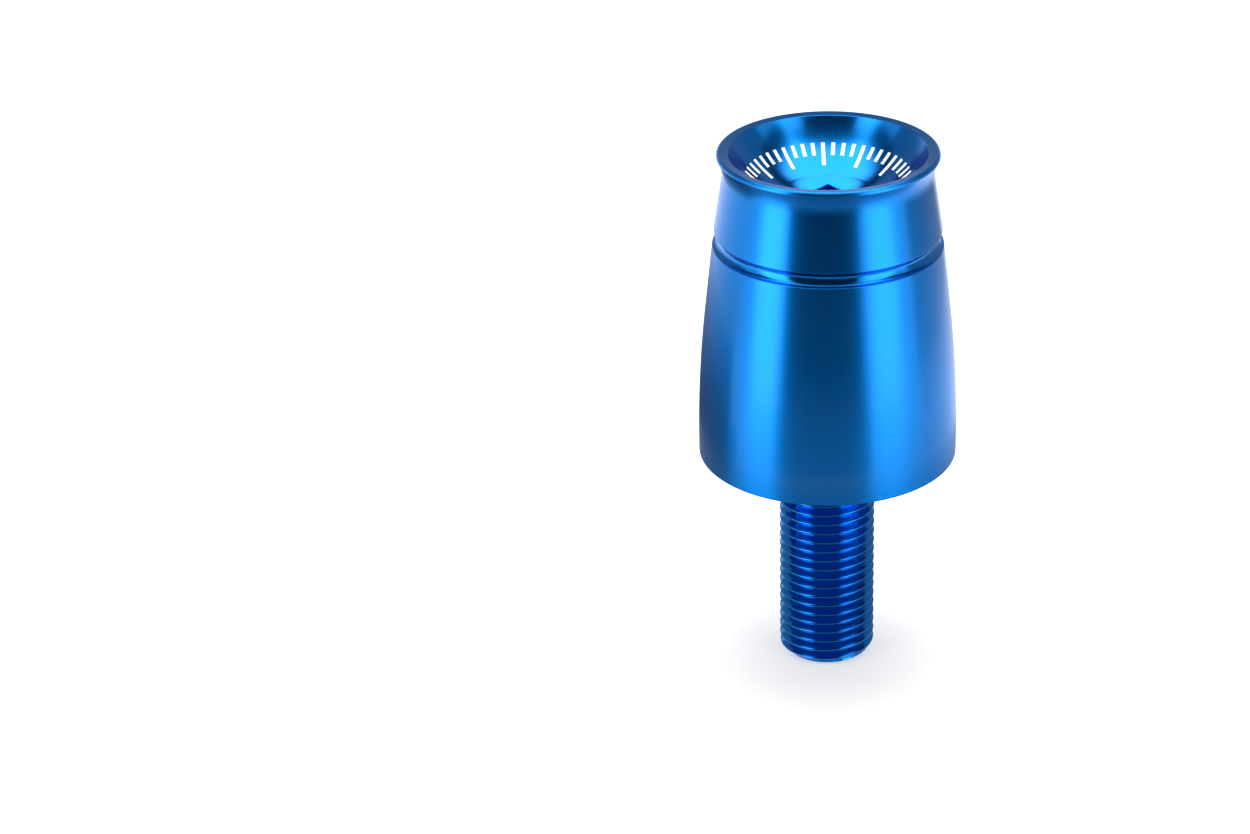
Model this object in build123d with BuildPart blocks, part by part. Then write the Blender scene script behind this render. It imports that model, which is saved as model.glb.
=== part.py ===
from build123d import *
from math import cos, radians, sin, sqrt, tan
import os

# Bar end weight for a motorcycle handlebar, turned from one aluminium bar: a barrel with a
# long convex side, a groove, a slimmer neck, a flared rim round a bowl with a hexagon socket
# in its floor, and a threaded stud that screws into the handlebar.
#
# Sizes are in millimetres and angles in degrees. The origin is the centre of the flat seat
# face, where the stud leaves the body. +Z runs along the axis to the rim.

# Barrel, from the seat face upwards
base_diameter = 37.5
body_length = 46.6  # seat face to the top of the rim
seat_edge_break = 0.2
straight_length = 2.5  # upright side before the curve starts
side_radius = 180.0  # the long convex curve
barrel_taper = 6.3  # slope of the side above the curve, from the axis

# Groove between barrel and neck
groove_width = 2.05
groove_depth = 0.75  # below the neck's lower edge
groove_corner_break = 0.5  # the tool's nose leaves no sharp corner
barrel_edge_break = 0.22
neck_edge_break = 0.12

# Neck and the cove under the rim
neck_length = 8.05
neck_taper = 8.6
cove_radius = 5.2

# Rim, a thin lip that stands out past the neck
rim_height = 3.85  # start of the cove to the top of the rim
rim_overhang = 0.75  # past the top of the neck
rim_edge_radius = 0.5
rim_undercut_angle = 45.0  # a small flat below the round edge leads to the cove
lip_width = 1.65
lip_slope = 8.0  # the top of the lip falls inwards

# Bowl inside the rim, part of a sphere
bowl_depth = 6.7  # top of the rim to the ring round the socket

# Hexagon socket in the floor of the bowl, for a 10 mm key
socket_across_flats = 10.0
socket_depth = 8.0  # straight walls, below the ring
socket_mouth_margin = 1.35  # ring outside the corners of the hexagon
mouth_angle = 120.0  # full angle of the cone round the socket
core_drill_undersize = 0.2
core_drill_extra_depth = 1.5
core_drill_point = 118.0

# Threaded stud, M14 x 1.5, drawn at the outer diameter of its thread
stud_diameter = 14.0
stud_length = 33.0
stud_end_chamfer = 1.0
relief_depth = 1.15  # undercut that lets the thread run out below the seat
relief_length = 4.2
relief_ramp_angle = 30.0  # slope from the undercut up to the thread

# Radii worked out from the diameters
base_radius = base_diameter / 2
stud_radius = stud_diameter / 2
relief_radius = stud_radius - relief_depth
relief_ramp = relief_depth / tan(radians(relief_ramp_angle))
socket_corner_radius = socket_across_flats / sqrt(3)
ring_radius = socket_corner_radius + socket_mouth_margin

# Heights worked out from the rim downwards
cove_start = body_length - rim_height
groove_top = cove_start - neck_length
groove_bottom = groove_top - groove_width
ring_height = body_length - bowl_depth
core_drill_radius = socket_across_flats / 2 - core_drill_undersize / 2
core_drill_mouth = ring_height - (ring_radius - core_drill_radius) / tan(radians(mouth_angle / 2))
core_drill_floor = ring_height - socket_depth - core_drill_extra_depth
core_drill_tip = core_drill_floor - core_drill_radius / tan(radians(core_drill_point / 2))


def side_point(height):
    """The point of the barrel's sloping side at a height above the curve."""
    slope = radians(barrel_taper)
    curve_top = straight_length + side_radius * sin(slope)
    curve_inset = side_radius * (1 - cos(slope))
    return base_radius - curve_inset - (height - curve_top) * tan(slope), height


# The side above and below the groove, and the rim that grows out of the neck
barrel_edge = side_point(groove_bottom)
neck_edge = side_point(groove_top)
neck_top = (neck_edge[0] - neck_length * tan(radians(neck_taper)), cove_start)
groove_floor = neck_edge[0] - groove_depth
rim_radius = neck_top[0] + rim_overhang
rim_core = (rim_radius - rim_edge_radius, body_length - rim_edge_radius)
mouth_radius = rim_radius - lip_width
lip_inner_height = body_length - (rim_core[0] - mouth_radius) * tan(radians(lip_slope))

# The sphere's centre is on the axis, as far from the bowl's upper edge as from its lower one
bowl_rise = lip_inner_height - ring_height
bowl_centre_rise = (mouth_radius**2 - ring_radius**2 + bowl_rise**2) / (2 * bowl_rise)
bowl_radius = sqrt(ring_radius**2 + bowl_centre_rise**2)


def rim_round_point(angle):
    """A point on the rim's round edge, at an angle up from the level of its centre."""
    return (
        rim_core[0] + rim_edge_radius * cos(radians(angle)),
        rim_core[1] + rim_edge_radius * sin(radians(angle)),
    )


with BuildPart() as bar_end_weight:
    # Half section of everything that the lathe cuts, with X as the radius and Y along the axis
    with BuildSketch(Plane.XZ):
        with BuildLine():
            Polyline(
                (0, -stud_length),
                (stud_radius - stud_end_chamfer, -stud_length),
                (stud_radius, -stud_length + stud_end_chamfer),
                (stud_radius, -relief_length),
                (relief_radius, -relief_length + relief_ramp),
                (relief_radius, 0),
                (base_radius - seat_edge_break, 0),
                (base_radius, seat_edge_break),
                (base_radius, straight_length),
            )
            barrel_curve = JernArc((base_radius, straight_length), (0, 1), side_radius, barrel_taper)
            Polyline(
                barrel_curve @ 1,
                side_point(groove_bottom - barrel_edge_break),
                (barrel_edge[0] - barrel_edge_break, groove_bottom),
                (groove_floor + groove_corner_break, groove_bottom),
                (groove_floor, groove_bottom + groove_corner_break),
                (groove_floor, groove_top - groove_corner_break),
                (groove_floor + groove_corner_break, groove_top),
                (neck_edge[0] - neck_edge_break, groove_top),
                side_point(groove_top + neck_edge_break),
                neck_top,
            )
            RadiusArc(neck_top, rim_round_point(-rim_undercut_angle), cove_radius)
            Line(rim_round_point(-rim_undercut_angle), rim_round_point(0))
            CenterArc(rim_core, rim_edge_radius, 0, 90)
            Line(rim_round_point(90), (mouth_radius, lip_inner_height))
            RadiusArc((mouth_radius, lip_inner_height), (ring_radius, ring_height), bowl_radius)
            Polyline(
                (ring_radius, ring_height),
                (core_drill_radius, core_drill_mouth),
                (core_drill_radius, core_drill_floor),
                (0, core_drill_tip),
                (0, -stud_length),
            )
        make_face()
    revolve(axis=Axis.Z)

    # The broached hexagon, with two of its corners on the Y axis
    with BuildSketch(Plane.XY.offset(ring_height)):
        RegularPolygon(socket_across_flats / 2, 6, major_radius=False, rotation=90)
    extrude(amount=-socket_depth, mode=Mode.SUBTRACT)

os.makedirs("parts", exist_ok=True)
bar_end_weight.part.label = "bar_end_weight"
export_step(bar_end_weight.part, "parts/bar_end_weight.step")
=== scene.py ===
from math import atan, ceil, cos, pi, radians, sin, sqrt, tan

import bmesh
import bpy
from mathutils import Matrix, Vector


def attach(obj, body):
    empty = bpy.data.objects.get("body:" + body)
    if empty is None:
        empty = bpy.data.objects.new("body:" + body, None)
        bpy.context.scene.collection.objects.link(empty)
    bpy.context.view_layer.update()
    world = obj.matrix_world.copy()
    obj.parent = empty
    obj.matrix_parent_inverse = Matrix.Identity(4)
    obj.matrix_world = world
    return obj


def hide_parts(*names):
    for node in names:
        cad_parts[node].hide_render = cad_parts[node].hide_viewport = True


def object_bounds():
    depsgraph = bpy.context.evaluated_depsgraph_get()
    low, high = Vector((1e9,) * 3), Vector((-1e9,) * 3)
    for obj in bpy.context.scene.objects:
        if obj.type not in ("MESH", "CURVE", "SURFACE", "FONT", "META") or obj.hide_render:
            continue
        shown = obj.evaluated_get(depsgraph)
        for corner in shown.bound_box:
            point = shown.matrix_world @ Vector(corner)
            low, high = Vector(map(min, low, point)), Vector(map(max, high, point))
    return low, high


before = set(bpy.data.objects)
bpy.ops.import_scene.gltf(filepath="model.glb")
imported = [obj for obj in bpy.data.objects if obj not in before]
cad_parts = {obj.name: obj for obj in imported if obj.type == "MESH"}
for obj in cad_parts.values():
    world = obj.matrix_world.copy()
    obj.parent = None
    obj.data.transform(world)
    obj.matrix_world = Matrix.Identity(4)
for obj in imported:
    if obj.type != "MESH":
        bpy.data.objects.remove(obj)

bl_info = {
    "name": "Bar end weight",
    "version": (1, 0, 0),
    "blender": (4, 5, 0),
    "location": "3D View > Sidebar > Bar end",
    "description": "Builds a turned, blue anodised bar end weight and a plain light stage for it",
    "category": "Object",
}

# The frame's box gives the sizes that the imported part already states
CAD_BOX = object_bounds()
SEAT_TO_RIM = CAD_BOX[1].z
SEAT_TO_STUD_END = -CAD_BOX[0].z
BASE_DIAMETER = CAD_BOX[1].x - CAD_BOX[0].x

MM = 0.001

# Mesh
SLICES = 144  # steps round the axis, a multiple of twelve so that the hexagon's corners fall on points
HOLD = 0.04 * MM  # distance of a holding ring from the edge that it keeps crisp
MERGE_DISTANCE = 0.0005 * MM
SHARP_ANGLE = radians(30)
BARREL_STEPS = 24  # along the barrel's long curve, and along the groove
RIM_STEPS = 20  # along the cove, and round the rim's edge
BOWL_STEPS = 72
EDGE_INSET = 0.8  # of an edge break, how far the groove's arc starts inside the edge
EDGE_ROUND = 0.7  # of an edge break, the radius of the round that stands for it
THREAD_DEPTH = 0.655  # of the pitch, a little more than the standard 0.613, for a narrow root

# How far each finish is on the way from the barrel's roughness to the thread's
GROOVE_FINISH = 0.8
BOWL_FINISH = 0.65
THREAD_FINISH = 1.0

# Stage. An azimuth is in degrees, zero towards the camera and positive to the right of the picture
FLOOR_REACH = 4.0
FLOOR_GAP = 0.02 * MM  # between the stud's end and the floor
# Painted shadow on the paper: its glow is dimmed round a point a little in front of the foot
PAINTED_SHADOW_MIDDLE = -8 * MM  # the painted soft shadow lies a little to the front of the foot
PAINTED_SHADOW_RADII = (4 * MM, 55 * MM)  # where the painted shadow starts to fade and where it has gone
BOX_DISTANCE = 150 * MM
BOX_MIDDLE = 120 * MM
BOX_HEIGHT = 305 * MM
BOX_PLATEAU = 0.35  # of a box's width, how much is evenly bright
BOX_FADE = 0.7  # of a box's height, where it starts to fade towards the top
TOP_BOX_PLACE = (0, 75 * MM, 300 * MM)
TOP_BOX_AIM = (0, 75 * MM, 0)
TOP_BOX_SIZE = (430 * MM, 310 * MM)
TOP_BOX_PLATEAU = 0.62
CEILING_HEIGHT = 330 * MM
CEILING_RADIUS = 420 * MM
CARD_STEPS = 24
CARD_LIFT = 0.2 * MM  # of each lying card over the one before, so that none share a plane

# Name, azimuth, width in millimetres and share of the lamps' brightness
SIDE_BOXES = (("left_box", -54, 108, 0.95), ("right_box", 52, 118, 0.74))

# Each card glows evenly and is seen only in reflections, as painted shade in the metal
# Name, tone, first and last azimuth, then radius, lower and upper edge in millimetres
STANDING_CARDS = (
    ("front_card", "dark", -37, 29, 115, -12, 300),
    ("left_back_card", "dark", -160, -88, 112, -33, -8),
    ("right_side_card", "grey", 84, 150, 170, -33, 100),
    ("back_card", "grey", 95, 265, 400, 105, 330),
    ("low_ring_card", "grey", -180, 180, 60, -33, -20),
)

# Name, tone, first and last azimuth, then near and far edge in millimetres
LYING_CARDS = (
    ("foot_card", "grey", -180, 180, 9, 86),
    ("front_floor_card", "grey", -44, 36, 96, 300),
    ("left_floor_card", "dark", -160, -80, 60, 111),
)


def length(name, description, default, low=0.0):
    """A size in metres with the unit that Blender shows for it."""
    return bpy.props.FloatProperty(
        name=name, description=description, default=default, min=low, unit="LENGTH", precision=5
    )


def angle(name, description, default):
    """An angle, given in degrees and kept in radians as Blender does."""
    return bpy.props.FloatProperty(
        name=name, description=description, default=radians(default), unit="ROTATION", subtype="ANGLE"
    )


def linear(hex_colour):
    """An sRGB hex colour as the linear red, green, blue and alpha that a shader takes."""
    channels = [int(hex_colour[i : i + 2], 16) / 255 for i in (1, 3, 5)]
    return tuple(c / 12.92 if c <= 0.04045 else ((c + 0.055) / 1.055) ** 2.4 for c in channels) + (1.0,)


def colour(name, description, hex_colour):
    """A colour that starts from an sRGB hex value."""
    return bpy.props.FloatVectorProperty(
        name=name, description=description, default=linear(hex_colour), size=4, min=0, max=1, subtype="COLOR"
    )


class BarEndBodySizes(bpy.types.PropertyGroup):
    base_diameter: length("Base diameter", "Across the seat end of the barrel", BASE_DIAMETER)
    body_length: length("Body length", "Seat face to the top of the rim", SEAT_TO_RIM)
    seat_edge_break: length("Seat edge break", "Small edge round the seat face", 0.2 * MM)
    straight_length: length("Straight length", "Upright side before the curve starts", 2.5 * MM)
    side_radius: length("Side radius", "Radius of the barrel's long curve", 180 * MM)
    barrel_taper: angle("Barrel taper", "Slope of the side above the curve", 6.3)
    groove_width: length("Groove width", "Width of the groove below the neck", 2.05 * MM)
    groove_depth: length("Groove depth", "Depth of the groove below the neck's edge", 0.75 * MM)
    barrel_edge_break: length("Barrel edge break", "Edge at the top of the barrel", 0.22 * MM)
    neck_edge_break: length("Neck edge break", "Edge at the foot of the neck", 0.12 * MM)
    neck_length: length("Neck length", "Groove to the start of the cove", 8.05 * MM)
    neck_taper: angle("Neck taper", "Slope of the neck's side", 8.6)
    cove_radius: length("Cove radius", "Hollow curve under the rim", 5.2 * MM)
    rim_height: length("Rim height", "Start of the cove to the top of the rim", 3.85 * MM)
    rim_overhang: length("Rim overhang", "How far the rim stands out past the neck", 0.75 * MM)
    rim_edge_radius: length("Rim edge radius", "Round outer edge of the rim", 0.5 * MM)
    rim_undercut: angle("Rim undercut", "Where the round edge meets the cove", 45.0)
    lip_width: length("Lip width", "Width of the rim's top face", 1.65 * MM)
    lip_slope: angle("Lip slope", "Fall of the rim's top face towards the bowl", 8.0)
    lip_inner_break: length("Lip inner break", "Edge between the lip and the bowl", 0.12 * MM)


class BarEndSocketSizes(bpy.types.PropertyGroup):
    bowl_depth: length("Bowl depth", "Top of the rim to the ring round the socket", 6.7 * MM)
    across_flats: length("Across flats", "Key size of the hexagon socket", 10 * MM)
    depth: length("Socket depth", "Straight walls below the ring", 8 * MM)
    mouth_margin: length("Mouth margin", "Ring outside the corners of the hexagon", 1.35 * MM)
    mouth_angle: angle("Mouth angle", "Full angle of the cone round the socket", 120)
    drill_undersize: length("Drill undersize", "Across flats less the core drill's diameter", 0.2 * MM)
    drill_extra_depth: length("Drill extra depth", "Core drill past the end of the broach", 1.5 * MM)
    drill_point: angle("Drill point", "Full angle of the core drill's point", 118)
    edge_break: length("Hexagon edge break", "Small edge between the cone and the hexagon's walls", 0.1 * MM)


class BarEndStudSizes(bpy.types.PropertyGroup):
    diameter: length("Stud diameter", "Outer diameter of the thread", 14 * MM)
    stud_length: length("Stud length", "Seat face to the end of the stud", SEAT_TO_STUD_END)
    pitch: length("Pitch", "Distance from crest to crest", 1.5 * MM, low=0.2 * MM)
    end_chamfer: length("End chamfer", "Chamfer at the end of the stud", 1.0 * MM)
    relief_depth: length("Relief depth", "Undercut below the seat", 1.15 * MM)
    relief_length: length("Relief length", "Seat face to the full thread", 4.2 * MM)
    relief_corner: length("Relief corner", "Radius where the undercut meets the seat", 0.15 * MM)
    relief_ramp: angle("Relief ramp", "Slope from the undercut up to the thread", 30)


class BarEndMarks(bpy.types.PropertyGroup):
    count: bpy.props.IntProperty(name="Marks", description="Marks round the bowl", default=48, min=3)
    long_every: bpy.props.IntProperty(
        name="Long every", description="Every how many marks a long one", default=4, min=1
    )
    inner_radius: length("Inner radius", "Inner end of the long marks", 8.8 * MM)
    short_radius: length("Short radius", "Inner end of the short marks", 10.2 * MM)
    outer_radius: length("Outer radius", "Outer end of all marks", 11.7 * MM)
    mark_width: length("Mark width", "Width of each mark", 0.55 * MM)
    thickness: length("Ink thickness", "Height of the ink over the metal", 0.015 * MM)


class BarEndFinish(bpy.types.PropertyGroup):
    dye: colour("Dye", "Colour of the dyed oxide film over the aluminium", "#0A7CD4")
    mark: colour("Mark", "Colour of the printed marks in the bowl", "#F2F4F5")
    lathe_feed: length("Lathe feed", "Distance between the turning lines", 0.12 * MM, low=0.01 * MM)
    polish: bpy.props.FloatProperty(
        name="Roughness", description="Roughness of the turned metal", default=0.34, min=0, max=1
    )
    fine_polish: bpy.props.FloatProperty(
        name="Fine roughness", description="Roughness of the thread", default=0.14, min=0, max=1
    )


class BarEndStage(bpy.types.PropertyGroup):
    paper: colour("Paper", "Colour of the floor and of what lies round it", "#FFFFFF")
    card: colour("Card", "Colour of the cards that darken the reflections", "#3C4046")
    grey_card: colour("Grey card", "Colour of the cards that dim the reflections", "#A0A3A6")
    top_radiance: bpy.props.FloatProperty(
        name="Top radiance", description="Brightness of the soft box overhead", default=3.2, min=0
    )
    # The paper's glow in the middle of the painted shadow round the foot
    painted_shadow_glow: bpy.props.FloatProperty(
        name="Floor glow", description="What the paper shows in full shadow", default=0.5, min=0
    )
    floor_catch: bpy.props.FloatProperty(
        name="Floor catch", description="Share of the falling light that the paper adds", default=0.45, min=0
    )
    fill: bpy.props.FloatProperty(
        name="Fill", description="Brightness of the light from all round", default=0.6, min=0
    )
    lamp_radiance: bpy.props.FloatProperty(
        name="Lamp radiance", description="Brightness of the soft boxes' faces", default=2.4, min=0
    )
    lens: bpy.props.FloatProperty(
        name="Lens", description="Focal length of the camera in millimetres", default=97.78, min=1
    )
    camera_distance: length("Camera distance", "From the axis to the camera, along the floor", 445.5 * MM)
    camera_height: length("Camera height", "Above the seat face", 223.7 * MM)
    camera_pitch: angle("Camera pitch", "How far the camera looks down", 26.17)
    camera_yaw: angle("Camera yaw", "How far the camera looks past the axis", 3.41)
    camera_roll: angle("Camera roll", "Tilt of the camera about its line of sight", 0.17)


# Materials


def add_node(tree, kind, values=None, links=None, **attributes):
    """Adds a node, sets its attributes and sockets, and links sockets to other nodes' outputs."""
    node = tree.nodes.new(kind)
    for key, value in attributes.items():
        setattr(node, key, value)
    for key, value in (values or {}).items():
        node.inputs[key].default_value = value
    for key, source in (links or {}).items():
        tree.links.new(source, node.inputs[key])
    return node


def new_material(name):
    """A material with an empty node tree."""
    material = bpy.data.materials.new(name)
    material.use_nodes = True
    material.node_tree.nodes.clear()
    return material, material.node_tree


def turned_anodised_aluminium():
    """Aluminium alloy turned with a fine feed, then anodised and dyed blue. The feed lines run
    round the axis, so lamps are drawn out into long streaks across them and keep crisp sides;
    the clear oxide film over the dye adds a thin white shine of its own."""
    finish = bpy.context.scene.bar_end_finish
    material, tree = new_material("turned_anodised_aluminium")
    place = add_node(tree, "ShaderNodeTexCoord").outputs["Object"]
    split = add_node(tree, "ShaderNodeSeparateXYZ", links={0: place})
    flat = add_node(
        tree, "ShaderNodeCombineXYZ", links={"X": split.outputs["X"], "Y": split.outputs["Y"]}
    )
    radius = add_node(
        tree, "ShaderNodeVectorMath", operation="LENGTH", links={0: flat.outputs["Vector"]}
    )
    # The lines follow the height, with a little of the radius so that flat faces have them too
    along = add_node(
        tree,
        "ShaderNodeMath",
        operation="MULTIPLY_ADD",
        values={1: 0.6},
        links={0: radius.outputs["Value"], 2: split.outputs["Z"]},
    )
    feed = add_node(
        tree,
        "ShaderNodeTexNoise",
        noise_dimensions="1D",
        values={"Scale": 1 / finish.lathe_feed, "Detail": 2.0, "Roughness": 0.6},
        links={"W": along.outputs["Value"]},
    )
    lines = add_node(
        tree,
        "ShaderNodeBump",
        values={"Strength": 0.08, "Distance": 0.004 * MM},
        links={"Height": feed.outputs["Fac"]},
    )
    round_axis = add_node(tree, "ShaderNodeTangent", direction_type="RADIAL", axis="Z")
    fine_cut = add_node(tree, "ShaderNodeAttribute", attribute_name="fine_cut")
    polish = add_node(
        tree,
        "ShaderNodeMapRange",
        values={"To Min": finish.polish, "To Max": finish.fine_polish},
        links={"Value": fine_cut.outputs["Fac"]},
    )
    shader = add_node(
        tree,
        "ShaderNodeBsdfPrincipled",
        values={
            "Base Color": finish.dye,
            "Metallic": 1.0,
            "Anisotropic": 0.75,
            "Anisotropic Rotation": 0.25,
            "Coat Weight": 0.12,
            "Coat Roughness": 0.1,
            "Coat IOR": 1.6,
        },
        links={
            "Roughness": polish.outputs["Result"],
            "Normal": lines.outputs["Normal"],
            "Tangent": round_axis.outputs["Tangent"],
        },
    )
    add_node(tree, "ShaderNodeOutputMaterial", links={"Surface": shader.outputs["BSDF"]})
    return material


def pad_printed_ink():
    """Opaque white ink printed onto the anodised bowl. It dries matt and nearly even."""
    finish = bpy.context.scene.bar_end_finish
    material, tree = new_material("pad_printed_ink")
    place = add_node(tree, "ShaderNodeTexCoord").outputs["Object"]
    specks = add_node(
        tree, "ShaderNodeTexNoise", values={"Scale": 1 / (0.15 * MM), "Detail": 2.0}, links={0: place}
    )
    film = add_node(
        tree,
        "ShaderNodeBump",
        values={"Strength": 0.15, "Distance": 0.01 * MM},
        links={"Height": specks.outputs["Fac"]},
    )
    shader = add_node(
        tree,
        "ShaderNodeBsdfPrincipled",
        values={"Base Color": finish.mark, "Roughness": 0.5},
        links={"Normal": film.outputs["Normal"]},
    )
    add_node(tree, "ShaderNodeOutputMaterial", links={"Surface": shader.outputs["BSDF"]})
    return material


# Geometry: rings of points round the axis, from the stud's end up and over into the socket


def arc(start, end, radius, steps):
    """Points of an arc that bulges to the left of the way from start to end, without its start."""
    way = Vector(end) - Vector(start)
    half = way.length / 2
    way.normalize()
    centre = (Vector(start) + Vector(end)) / 2 + Vector((way.y, -way.x)) * sqrt(radius**2 - half**2)
    spoke = Vector(start) - centre
    turn = -2 * atan(half / sqrt(radius**2 - half**2))
    points = []
    for i in range(1, steps + 1):
        c, s = cos(turn * i / steps), sin(turn * i / steps)
        points.append((centre.x + spoke.x * c - spoke.y * s, centre.y + spoke.x * s + spoke.y * c))
    return points


def rounded(before, corner, after, radius, steps=5):
    """Points of the small round that a corner between two straight runs gets."""
    into = (Vector(before) - Vector(corner)).normalized()
    out = (Vector(after) - Vector(corner)).normalized()
    half = into.angle(out) / 2
    reach = radius / tan(half)
    centre = Vector(corner) + (into + out).normalized() * (radius / sin(half))
    start = (Vector(corner) + into * reach - centre).normalized()
    end = (Vector(corner) + out * reach - centre).normalized()
    return [tuple(centre + start.slerp(end, i / steps) * radius) for i in range(steps + 1)]


def held(points, reach):
    """Adds a point close to both ends of each long straight run, so that it shades straight. A run
    of less than six times that distance is left as it is."""
    out = points[:1]
    for a, b in zip(points, points[1:]):
        start, end = Vector(a), Vector(b)
        long = (end - start).length
        if long > 6 * reach:
            out.append(tuple(start.lerp(end, reach / long)))
            out.append(tuple(end.lerp(start, reach / long)))
        out.append(b)
    return out


def body_outline():
    """Radius and height of the rings from the undercut, over barrel, neck and rim, to the bowl's floor."""
    body = bpy.context.scene.bar_end_body
    socket = bpy.context.scene.bar_end_socket
    stud = bpy.context.scene.bar_end_stud
    base = body.base_diameter / 2
    curve_top = body.straight_length + body.side_radius * sin(body.barrel_taper)
    curve_inset = body.side_radius * (1 - cos(body.barrel_taper))

    def side(height):
        return base - curve_inset - (height - curve_top) * tan(body.barrel_taper), height

    relief = stud.diameter / 2 - stud.relief_depth
    cove_start = body.body_length - body.rim_height
    groove_top = cove_start - body.neck_length
    groove_bottom = groove_top - body.groove_width
    barrel_edge, neck_edge = side(groove_bottom), side(groove_top)
    neck_top = (neck_edge[0] - body.neck_length * tan(body.neck_taper), cove_start)
    floor = neck_edge[0] - body.groove_depth
    core = (neck_top[0] + body.rim_overhang - body.rim_edge_radius, body.body_length - body.rim_edge_radius)
    mouth = core[0] + body.rim_edge_radius - body.lip_width
    lip_top = (core[0], body.body_length)
    lip_inner = (mouth, body.body_length - (core[0] - mouth) * tan(body.lip_slope))
    ring = (socket.across_flats / sqrt(3) + socket.mouth_margin, body.body_length - socket.bowl_depth)

    def rim_point(turn):
        return core[0] + body.rim_edge_radius * cos(turn), core[1] + body.rim_edge_radius * sin(turn)

    points = rounded((relief, -1), (relief, 0), (base, 0), stud.relief_corner)
    points += rounded((relief, 0), (base, 0), (base, body.straight_length), body.seat_edge_break)
    points.append((base, body.straight_length))
    for i in range(1, BARREL_STEPS + 1):
        turn = body.barrel_taper * i / BARREL_STEPS
        inset = body.side_radius * (1 - cos(turn))
        points.append((base - inset, body.straight_length + body.side_radius * sin(turn)))

    # The groove is cut with a round-nosed tool, whose arc runs from edge to edge
    groove_start = (barrel_edge[0] - body.barrel_edge_break * EDGE_INSET, groove_bottom)
    groove_end = (neck_edge[0] - body.neck_edge_break * EDGE_INSET, groove_top)
    depth = (groove_start[0] + groove_end[0]) / 2 - floor
    nose = ((body.groove_width / 2) ** 2 + depth**2) / (2 * depth)
    points += rounded(side(curve_top), barrel_edge, groove_start, body.barrel_edge_break * EDGE_ROUND)
    points += arc(groove_start, groove_end, nose, BARREL_STEPS)
    points += rounded(groove_end, neck_edge, neck_top, body.neck_edge_break * EDGE_ROUND)
    points.append(neck_top)

    # The cove, and the rim's round edge from its undercut over to its top
    points += arc(neck_top, rim_point(-body.rim_undercut), body.cove_radius, RIM_STEPS)
    sweep = body.rim_undercut + pi / 2
    points += [rim_point(-body.rim_undercut + sweep * i / RIM_STEPS) for i in range(1, RIM_STEPS + 1)]

    # The bowl is part of a sphere whose centre is on the axis. Every second point of its arc is
    # used, from past the lip's edge to one step before the ring, where the cone begins
    rise = lip_inner[1] - ring[1]
    centre_rise = (lip_inner[0] ** 2 - ring[0] ** 2 + rise**2) / (2 * rise)
    bowl = arc(lip_inner, ring, sqrt(ring[0] ** 2 + centre_rise**2), BOWL_STEPS)
    points += rounded(lip_top, lip_inner, bowl[3], body.lip_inner_break)
    points += bowl[2::2]
    return held(points, HOLD)


def bowl_start(outline):
    """Index of the outline's first point past the top of the rim."""
    return max(range(len(outline)), key=lambda i: outline[i][1]) + 1


def thread_rows():
    """Rings of one turn of the thread, each with its height as a share of the pitch and its depth
    below the crest as a share of the full depth. The crest is rounded, the straight flank has a
    holding ring close to the crest and one halfway, and the root is a narrow round."""
    half = [(0, 0), (0.045, 0.011), (0.085, 0.042), (0.112, 0.088), (0.13, 0.131)]
    half += [(0.3, 0.541), (0.465, 0.939), (0.49, 0.99)]
    mirrored = [(1 - place, depth) for place, depth in reversed(half[1:])]
    return half + [(0.5, 1)] + mirrored


def stud_rings(stud):
    """Rings of the stud. Each turn climbs by the pitch on its way round, and both ends are cut flat."""
    crest = stud.diameter / 2
    deep = THREAD_DEPTH * stud.pitch
    ramp = stud.relief_depth / tan(stud.relief_ramp)
    low, high = -stud.stud_length, -stud.relief_length + ramp
    rows = thread_rows()
    turns = ceil((high - low) / stud.pitch) + 2
    rings = []
    for turn in range(turns):
        for place, depth in rows:
            ring = []
            for i in range(SLICES):
                z = low + (turn - 1 + place + i / SLICES) * stud.pitch
                z = min(max(z, low), high)
                chamfered = crest - stud.end_chamfer + (z - low)
                run_out = crest - stud.relief_depth + (high - z) * tan(stud.relief_ramp)
                ring.append((min(crest - deep * depth, chamfered, run_out), z))
            rings.append(ring)
    return rings, len(rows)


def socket_rings(socket, ring_height):
    """Rings of the cone, the hexagon's walls, the ledge that the broach leaves and the drilled point."""
    flat = socket.across_flats / 2
    ring = socket.across_flats / sqrt(3) + socket.mouth_margin
    drill = flat - socket.drill_undersize / 2
    ledge = ring_height - socket.depth
    floor = ledge - socket.drill_extra_depth
    wall = []
    for i in range(SLICES):
        from_flat = (2 * pi * i / SLICES - pi / 2) % (pi / 3) - pi / 6
        wall.append(flat / cos(from_flat))
    fall = 1 / tan(socket.mouth_angle / 2)
    edge = socket.edge_break

    def cone(r):
        return ring_height - (ring - r) * fall

    # The cone has a ring close to its outer edge, one halfway and one close to the hexagon
    rings = [[(r + (ring - r) * share, cone(r + (ring - r) * share)) for r in wall] for share in (0.95, 0.5)]
    rings.append([(r + edge + HOLD, cone(r + edge + HOLD)) for r in wall])
    # The hexagon's edge break is a small round of three rings
    rings.append([(r + edge, cone(r + edge)) for r in wall])
    rings.append([(r + edge * 0.3, cone(r + edge) - edge * 0.7) for r in wall])
    rings.append([(r, cone(r + edge) - edge * 1.7) for r in wall])
    rings.append([(r, cone(r + edge) - edge * 1.7 - HOLD) for r in wall])
    rings.append([(r, ledge + HOLD) for r in wall])
    rings.append([(r, ledge) for r in wall])
    rings.append([(drill, ledge)] * SLICES)
    rings.append([(drill, floor)] * SLICES)
    rings.append([(drill - HOLD, floor - HOLD / tan(socket.drill_point / 2))] * SLICES)
    tip = floor - drill / tan(socket.drill_point / 2)
    return rings, tip


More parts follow.
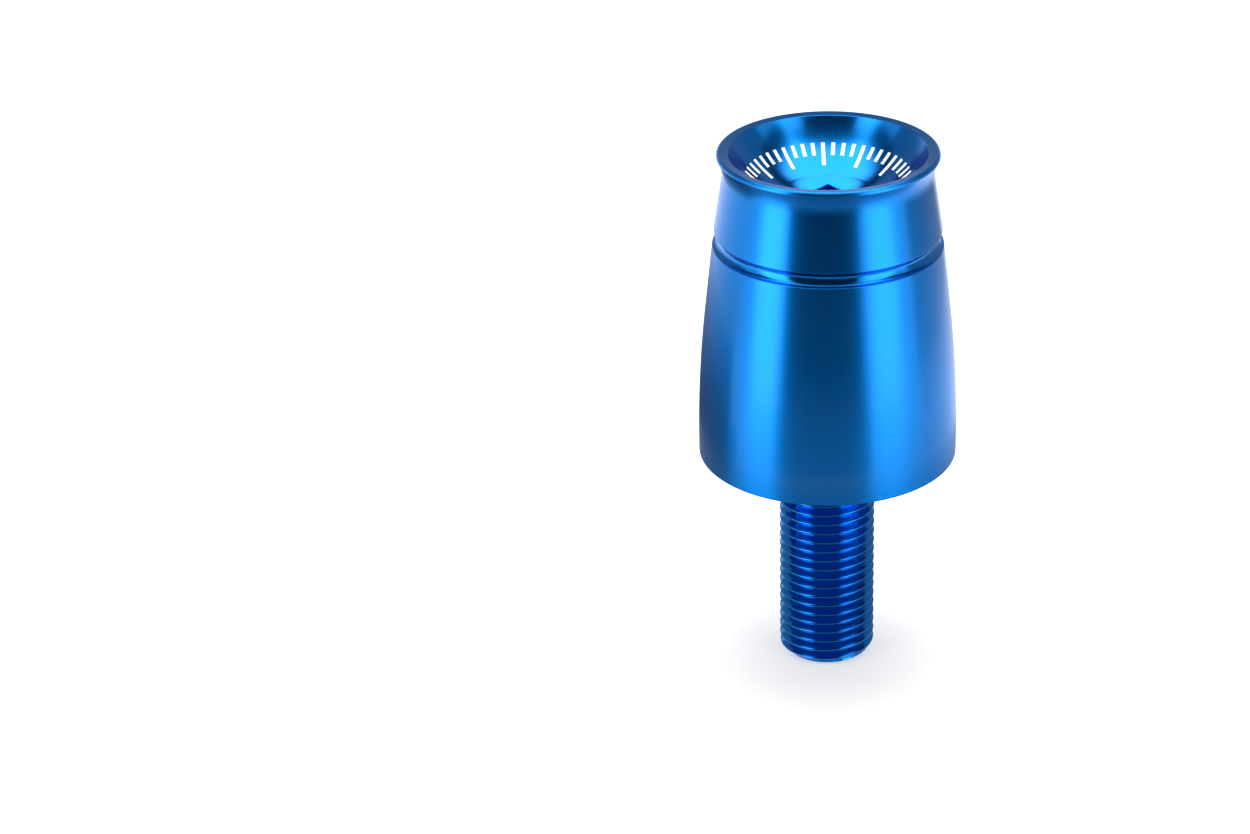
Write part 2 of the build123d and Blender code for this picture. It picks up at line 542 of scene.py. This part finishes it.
def close_mesh(name, points, faces, material, fine_cut=None):
    """A closed mesh from points and faces, with coinciding points merged and sharp edges marked."""
    mesh = bpy.data.meshes.new(name)
    mesh.from_pydata(points, [], faces)
    if fine_cut:
        mesh.attributes.new("fine_cut", "FLOAT", "POINT").data.foreach_set("value", fine_cut)
    work = bmesh.new()
    work.from_mesh(mesh)
    bmesh.ops.remove_doubles(work, verts=work.verts, dist=MERGE_DISTANCE)
    bmesh.ops.dissolve_degenerate(work, dist=MERGE_DISTANCE, edges=work.edges)
    bmesh.ops.recalc_face_normals(work, faces=work.faces)
    open_edges = [edge for edge in work.edges if not edge.is_manifold]
    work.to_mesh(mesh)
    work.free()
    if open_edges:
        raise RuntimeError(f"{name} has {len(open_edges)} open edges")
    mesh.shade_smooth()
    mesh.set_sharp_from_angle(angle=SHARP_ANGLE)
    mesh.materials.append(material)
    piece = bpy.data.objects.new(name, mesh)
    bpy.context.scene.collection.objects.link(piece)
    return piece


class BARENDWEIGHT_OT_turned_weight(bpy.types.Operator):
    """Build the turned weight with its bowl, hexagon socket and threaded stud"""

    bl_idname = "bar_end.turned_weight"
    bl_label = "Turned weight"

    def execute(self, context):
        stud = context.scene.bar_end_stud
        socket = context.scene.bar_end_socket
        points, faces, fine_cut = [], [], []

        def add_ring(ring, cut=0.0):
            """Adds the points of a ring of radii and heights, and gives the index of the first."""
            start = len(points)
            fine_cut.extend([cut] * SLICES)
            for i, (r, z) in enumerate(ring):
                turn = 2 * pi * i / SLICES
                points.append((r * cos(turn), r * sin(turn), z))
            return start

        def join(lower, upper, seam_lower=None, seam_upper=None):
            """Faces between two rings. Where they come round to the start, a thread meets later rings."""
            for i in range(SLICES):
                j = (i + 1) % SLICES
                a, b = (lower, upper) if j else (seam_lower or lower, seam_upper or upper)
                faces.append((lower + i, a + j, b + j, upper + i))

        rings, per_turn = stud_rings(stud)
        starts = [add_ring(ring, THREAD_FINISH) for ring in rings]
        for row in range(len(starts) - per_turn - 1):
            join(starts[row], starts[row + 1], starts[row + per_turn], starts[row + per_turn + 1])
        end_ring = starts[0]
        last = starts[-1]

        outline = body_outline()
        bowl = bowl_start(outline)
        body = context.scene.bar_end_body
        groove_top = body.body_length - body.rim_height - body.neck_length
        for i, (r, z) in enumerate(outline):
            finish = 0.0
            if i >= bowl:
                finish = BOWL_FINISH
            elif groove_top - body.groove_width <= z <= groove_top:
                finish = GROOVE_FINISH
            elif z < HOLD / 4:  # the seat face and the undercut's corner, cut as finely as the thread
                finish = THREAD_FINISH
            ring = add_ring([(r, z)] * SLICES, finish)
            join(last, ring)
            last = ring
        rings, tip = socket_rings(socket, outline[-1][1])
        for ring in rings:
            start = add_ring(ring, BOWL_FINISH)
            join(last, start)
            last = start

        hub = add_ring([(stud.diameter / 2 - stud.end_chamfer - HOLD, -stud.stud_length)] * SLICES)
        join(hub, end_ring)
        points.append((0, 0, -stud.stud_length))
        points.append((0, 0, tip))
        end_centre, tip_point = len(points) - 2, len(points) - 1
        for i in range(SLICES):
            j = (i + 1) % SLICES
            faces.append((end_centre, hub + j, hub + i))
            faces.append((last + i, last + j, tip_point))

        fine_cut.extend([0.0, 0.0])
        weight = close_mesh("turned_weight", points, faces, turned_anodised_aluminium(), fine_cut)
        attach(weight, "root")
        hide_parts("bar_end_weight")
        return {"FINISHED"}


class BARENDWEIGHT_OT_bowl_marks(bpy.types.Operator):
    """Print a ring of plain marks onto the bowl"""

    bl_idname = "bar_end.bowl_marks"
    bl_label = "Bowl marks"

    def execute(self, context):
        marks = context.scene.bar_end_marks
        outline = body_outline()
        wall = sorted(outline[bowl_start(outline) :])
        points, faces = [], []
        for k in range(marks.count):
            middle = 2 * pi * (k + 0.5) / marks.count
            inner = marks.inner_radius if k % marks.long_every == 0 else marks.short_radius
            add_mark(points, faces, wall, middle, inner, marks)
        ring = close_mesh("bowl_marks", points, faces, pad_printed_ink())
        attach(ring, "root")
        return {"FINISHED"}


def wall_at(wall, radius):
    """Height and slope of the bowl's side at a radius."""
    for (r0, z0), (r1, z1) in zip(wall, wall[1:]):
        if r0 <= radius <= r1:
            return z0 + (z1 - z0) * (radius - r0) / (r1 - r0), (z1 - z0) / (r1 - r0)
    raise RuntimeError("a mark reaches past the bowl's side")


def add_mark(points, faces, wall, middle, inner, marks):
    """One thin closed mark that follows the bowl's curve, half sunk into the metal."""
    steps, across = 10, 3
    outer, width = marks.outer_radius, marks.mark_width
    layers = []
    for lift in (-marks.thickness, marks.thickness):
        start = len(points)
        layers.append(start)
        for i in range(steps + 1):
            radius = inner + (outer - inner) * i / steps
            z, slope = wall_at(wall, radius)
            tilt = sqrt(1 + slope * slope)
            r, height = radius - lift * slope / tilt, z + lift / tilt
            for j in range(across + 1):
                turn = middle + width * (j / across - 0.5) / radius
                points.append((r * cos(turn), r * sin(turn), height))
    row = across + 1
    low, high = layers
    for i in range(steps):
        for j in range(across):
            a = i * row + j
            faces.append((high + a, high + a + 1, high + a + row + 1, high + a + row))
            faces.append((low + a, low + a + row, low + a + row + 1, low + a + 1))
        for j in (0, across):
            a = i * row + j
            faces.append((low + a, high + a, high + a + row, low + a + row))
    for i in (0, steps):
        for j in range(across):
            a = i * row + j
            faces.append((low + a, low + a + 1, high + a + 1, high + a))


# Stage


def ray_sees_background(tree):
    """One where a camera, glossy or transmission ray looks, and zero for the light that falls on things."""
    path = add_node(tree, "ShaderNodeLightPath").outputs
    either = add_node(
        tree,
        "ShaderNodeMath",
        operation="MAXIMUM",
        links={0: path["Is Camera Ray"], 1: path["Is Glossy Ray"]},
    )
    return add_node(
        tree,
        "ShaderNodeMath",
        operation="MAXIMUM",
        links={0: either.outputs["Value"], 1: path["Is Transmission Ray"]},
    ).outputs["Value"]


def paper_floor():
    """White paper. A ray that sees it finds a white glow, dimmed round the foot as a painted soft shadow,
    and the matt paper adds the light that falls on it, with the weight's own shadow in it; a view from below
    passes through it."""
    stage = bpy.context.scene.bar_end_stage
    material, tree = new_material("white_paper_painted_shadow")
    place = add_node(tree, "ShaderNodeTexCoord").outputs["Object"]
    from_foot = add_node(
        tree,
        "ShaderNodeVectorMath",
        operation="DISTANCE",
        values={1: (0, PAINTED_SHADOW_MIDDLE, CAD_BOX[0].z)},
        links={0: place},
    )
    # Painted shadow: the glow falls from full white to the painted shadow's glow towards the foot
    brightness = add_node(
        tree,
        "ShaderNodeMapRange",
        interpolation_type="SMOOTHSTEP",
        values={
            "From Min": PAINTED_SHADOW_RADII[0],
            "From Max": PAINTED_SHADOW_RADII[1],
            "To Min": stage.painted_shadow_glow,
            "To Max": 1.0,
        },
        links={"Value": from_foot.outputs["Value"]},
    )
    glow = add_node(
        tree,
        "ShaderNodeEmission",
        values={"Color": stage.paper},
        links={"Strength": brightness.outputs["Result"]},
    )
    dark = add_node(tree, "ShaderNodeEmission", values={"Strength": 0.0})
    shown = add_node(
        tree,
        "ShaderNodeMixShader",
        links={0: ray_sees_background(tree), 1: dark.outputs["Emission"], 2: glow.outputs["Emission"]},
    )
    catch = tuple(c * stage.floor_catch for c in stage.paper[:3]) + (1.0,)
    matt = add_node(tree, "ShaderNodeBsdfDiffuse", values={"Color": catch})
    top = add_node(
        tree, "ShaderNodeAddShader", links={0: shown.outputs["Shader"], 1: matt.outputs["BSDF"]}
    )
    clear = add_node(tree, "ShaderNodeBsdfTransparent")
    below = add_node(tree, "ShaderNodeNewGeometry").outputs["Backfacing"]
    both = add_node(
        tree,
        "ShaderNodeMixShader",
        links={0: below, 1: top.outputs["Shader"], 2: clear.outputs["BSDF"]},
    )
    add_node(tree, "ShaderNodeOutputMaterial", links={"Surface": both.outputs["Shader"]})
    material.cycles.emission_sampling = "NONE"
    return material


def glowing_reflection_card(name, tint):
    """Card that glows evenly at one tone and paints shade into the metal's reflections, where a studio
    stands a matt card beside bright metal to shape them.
    """
    material, tree = new_material(name)
    glow = add_node(tree, "ShaderNodeEmission", values={"Color": tint, "Strength": 1.0})
    add_node(tree, "ShaderNodeOutputMaterial", links={"Surface": glow.outputs["Emission"]})
    material.cycles.emission_sampling = "NONE"
    return material


def aim(azimuth):
    """Direction along the floor, with zero towards the camera and positive to the right of the picture."""
    return Vector((sin(azimuth), -cos(azimuth), 0))


def stand_card(name, start, end, radius, low, high, material):
    """A card bent round the axis."""
    points = []
    for i in range(CARD_STEPS + 1):
        way = aim(start + (end - start) * i / CARD_STEPS) * radius
        points += [(way.x, way.y, low), (way.x, way.y, high)]
    add_card(name, points, material)


def lay_card(name, start, end, near, far, height, material):
    """A level card as a slice of a ring, over the floor or under the ceiling."""
    points = []
    for i in range(CARD_STEPS + 1):
        way = aim(start + (end - start) * i / CARD_STEPS)
        points += [(way.x * r, way.y * r, height) for r in (near, far)]
    add_card(name, points, material)


def add_card(name, points, material):
    """A card of pairs of points, seen only in reflections and without a shadow."""
    faces = [(2 * i, 2 * i + 1, 2 * i + 3, 2 * i + 2) for i in range(CARD_STEPS)]
    mesh = bpy.data.meshes.new(name)
    mesh.from_pydata(points, [], faces)
    mesh.materials.append(material)
    card = bpy.data.objects.new(name, mesh)
    bpy.context.scene.collection.objects.link(card)
    card.visible_camera = card.visible_diffuse = card.visible_shadow = False
    card.visible_transmission = card.visible_volume_scatter = False


def soft_box(name, place, target, width, height, radiance, plateau=BOX_PLATEAU):
    """An area lamp whose face has the given brightness in the middle. It fades towards both sides,
    from the edge of the plateau on, and towards the top."""
    lamp = bpy.data.lights.new(name, "AREA")
    lamp.shape = "RECTANGLE"
    lamp.size, lamp.size_y = width, height
    lamp.energy = radiance * pi * width * height
    lamp.use_nodes = True
    tree = lamp.node_tree
    tree.nodes.clear()
    face = add_node(tree, "ShaderNodeNewGeometry").outputs["Parametric"]
    place_on_face = add_node(tree, "ShaderNodeSeparateXYZ", links={0: face})
    from_middle = add_node(
        tree,
        "ShaderNodeMath",
        operation="SUBTRACT",
        values={1: 0.5},
        links={0: place_on_face.outputs["X"]},
    )
    off_middle = add_node(
        tree, "ShaderNodeMath", operation="ABSOLUTE", links={0: from_middle.outputs["Value"]}
    )
    fades = [
        add_node(
            tree,
            "ShaderNodeMapRange",
            interpolation_type="SMOOTHSTEP",
            values={"From Min": start, "From Max": end, "To Min": 1.0, "To Max": 0.0},
            links={"Value": source},
        ).outputs["Result"]
        for source, start, end in (
            (off_middle.outputs["Value"], plateau / 2, 0.5),
            (place_on_face.outputs["Y"], BOX_FADE, 1.0),
        )
    ]
    fade = add_node(tree, "ShaderNodeMath", operation="MULTIPLY", links={0: fades[0], 1: fades[1]})
    glow = add_node(tree, "ShaderNodeEmission", links={"Strength": fade.outputs["Value"]})
    add_node(tree, "ShaderNodeOutputLight", links={"Surface": glow.outputs["Emission"]})
    box = bpy.data.objects.new(name, lamp)
    box.location = place
    box.rotation_euler = (Vector(target) - Vector(place)).to_track_quat("-Z", "Y").to_euler()
    box.visible_camera = False
    bpy.context.scene.collection.objects.link(box)


class BARENDWEIGHT_OT_stage(bpy.types.Operator):
    """Build the floor, the soft boxes, the cards, the white surroundings and the camera"""

    bl_idname = "bar_end.stage"
    bl_label = "Stage"

    def execute(self, context):
        stage = context.scene.bar_end_stage
        ground = CAD_BOX[0].z - FLOOR_GAP
        mesh = bpy.data.meshes.new("floor")
        quarters = ((-1, -1), (1, -1), (1, 1), (-1, 1))
        corners = [(x * FLOOR_REACH, y * FLOOR_REACH, ground) for x, y in quarters]
        mesh.from_pydata(corners, [], [(0, 1, 2, 3)])
        mesh.materials.append(paper_floor())
        floor = bpy.data.objects.new("floor", mesh)
        context.scene.collection.objects.link(floor)

        for name, azimuth, width, strength in SIDE_BOXES:
            target = Vector((0, 0, BOX_MIDDLE))
            place = aim(radians(azimuth)) * BOX_DISTANCE + target
            soft_box(name, place, target, width * MM, BOX_HEIGHT, stage.lamp_radiance * strength)
        soft_box(
            "top_box", TOP_BOX_PLACE, TOP_BOX_AIM, *TOP_BOX_SIZE, stage.top_radiance, plateau=TOP_BOX_PLATEAU
        )

        # Cards that glow evenly and are seen only in reflections, the ceiling card too: painted shade in the
        # metal
        cards = {
            "dark": glowing_reflection_card("dark_reflection_card", stage.card),
            "grey": glowing_reflection_card("grey_reflection_card", stage.grey_card),
        }
        for name, tone, start, end, radius, low, high in STANDING_CARDS:
            span = (radians(start), radians(end))
            stand_card(name, *span, radius * MM, low * MM, high * MM, cards[tone])
        for i, (name, tone, start, end, near, far) in enumerate(LYING_CARDS, start=1):
            span = (radians(start), radians(end))
            lay_card(name, *span, near * MM, far * MM, ground + i * CARD_LIFT, cards[tone])
        lay_card("ceiling_card", -pi, pi, 0, CEILING_RADIUS, CEILING_HEIGHT, cards["dark"])

        world = bpy.data.worlds.new("white_studio")
        world.use_nodes = True
        tree = world.node_tree
        tree.nodes.clear()
        plain = add_node(tree, "ShaderNodeBackground", values={"Color": stage.paper, "Strength": 1.0})
        fill = add_node(
            tree, "ShaderNodeBackground", values={"Color": stage.paper, "Strength": stage.fill}
        )
        mixed = add_node(
            tree,
            "ShaderNodeMixShader",
            links={
                0: ray_sees_background(tree),
                1: fill.outputs["Background"],
                2: plain.outputs["Background"],
            },
        )
        add_node(tree, "ShaderNodeOutputWorld", links={"Surface": mixed.outputs["Shader"]})
        world.cycles.sampling_method = "NONE"
        context.scene.world = world

        lens = bpy.data.cameras.new("camera")
        lens.lens = stage.lens
        lens.sensor_width = 36
        lens.clip_start, lens.clip_end = 10 * MM, 10
        camera = bpy.data.objects.new("camera", lens)
        context.scene.collection.objects.link(camera)
        place = Matrix.Translation((0, -stage.camera_distance, stage.camera_height))
        pitch = Matrix.Rotation(pi / 2 - stage.camera_pitch, 4, "X")
        yaw = Matrix.Rotation(stage.camera_yaw, 4, "Y")
        roll = Matrix.Rotation(stage.camera_roll, 4, "Z")
        camera.matrix_world = place @ pitch @ yaw @ roll
        context.scene.camera = camera
        context.scene.view_settings.view_transform = "Standard"
        return {"FINISHED"}


class BARENDWEIGHT_PT_panel(bpy.types.Panel):
    """Lists the sizes and colours and the steps that build the weight"""

    bl_idname = "BARENDWEIGHT_PT_panel"
    bl_label = "Bar end weight"
    bl_space_type = "VIEW_3D"
    bl_region_type = "UI"
    bl_category = "Bar end"

    def draw(self, context):
        for step in STEPS:
            self.layout.operator(step.bl_idname)
        for name, group in GROUPS.items():
            box = self.layout.box()
            for prop in group.__annotations__:
                box.prop(getattr(context.scene, name), prop)


GROUPS = {
    "bar_end_body": BarEndBodySizes,
    "bar_end_socket": BarEndSocketSizes,
    "bar_end_stud": BarEndStudSizes,
    "bar_end_marks": BarEndMarks,
    "bar_end_finish": BarEndFinish,
    "bar_end_stage": BarEndStage,
}
STEPS = (BARENDWEIGHT_OT_turned_weight, BARENDWEIGHT_OT_bowl_marks, BARENDWEIGHT_OT_stage)


def register():
    for cls in (*GROUPS.values(), *STEPS, BARENDWEIGHT_PT_panel):
        bpy.utils.register_class(cls)
    for name, group in GROUPS.items():
        setattr(bpy.types.Scene, name, bpy.props.PointerProperty(type=group))


def unregister():
    for name in GROUPS:
        delattr(bpy.types.Scene, name)
    for cls in reversed((*GROUPS.values(), *STEPS, BARENDWEIGHT_PT_panel)):
        bpy.utils.unregister_class(cls)


def main():
    register()
    bpy.ops.bar_end.turned_weight()
    bpy.ops.bar_end.bowl_marks()
    bpy.ops.bar_end.stage()


if __name__ == "__main__":
    main()
